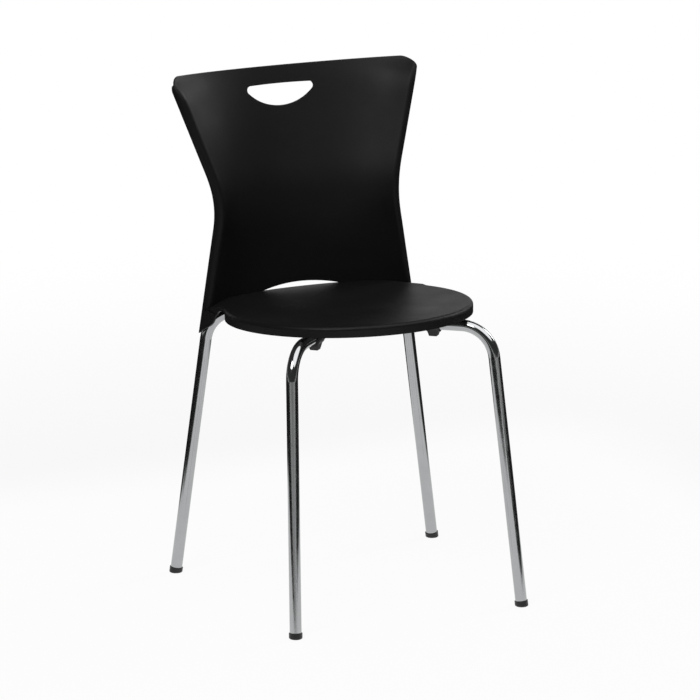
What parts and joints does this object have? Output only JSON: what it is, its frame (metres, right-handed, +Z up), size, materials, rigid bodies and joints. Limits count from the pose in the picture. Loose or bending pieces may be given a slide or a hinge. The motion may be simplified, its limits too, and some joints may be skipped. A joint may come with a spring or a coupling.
{
  "type": "stacking chair",
  "caption": "Armless stacking chair with a one-piece moulded plastic seat and back on a crossed, bent tube frame; hand grip in the back, buffers and glides on the frame.",
  "frame": {"origin": "on the floor, at the middle of the whole chair's plan rectangle", "axes": "+Z up; -Y is the front, where the sitter's knees are; +X towards the chair's right in a front view"},
  "size_m": [0.489, 0.5306, 0.8166],
  "materials": {
    "shell": "satin",
    "tube": "polished",
    "plate": "plated",
    "fastener": "zinc plated",
    "insert": "plain",
    "buffer": "matt",
    "glide": "matt"
  },
  "bodies": {
    "root": {"seat_and_back_shell": "shell", "diagonal_leg_tube": "tube", "front_left_leg_tube": "tube", "rear_right_leg_tube": "tube", "front_left_crossing_weld": "plate", "rear_right_crossing_weld": "plate", "crossing_plate": "plate", "front_left_mounting_tab": "plate", "front_left_washer": "fastener", "front_left_shell_screw": "fastener", "front_left_threaded_insert": "insert", "front_left_stacking_buffer": "buffer", "front_left_glide": "glide", "front_right_mounting_tab": "plate", "front_right_washer": "fastener", "front_right_shell_screw": "fastener", "front_right_threaded_insert": "insert", "front_right_stacking_buffer": "buffer", "front_right_glide": "glide", "rear_left_mounting_tab": "plate", "rear_left_washer": "fastener", "rear_left_shell_screw": "fastener", "rear_left_threaded_insert": "insert", "rear_left_stacking_buffer": "buffer", "rear_left_glide": "glide", "rear_right_mounting_tab": "plate", "rear_right_washer": "fastener", "rear_right_shell_screw": "fastener", "rear_right_threaded_insert": "insert", "rear_right_stacking_buffer": "buffer", "rear_right_glide": "glide"}
  },
  "joints": []
}
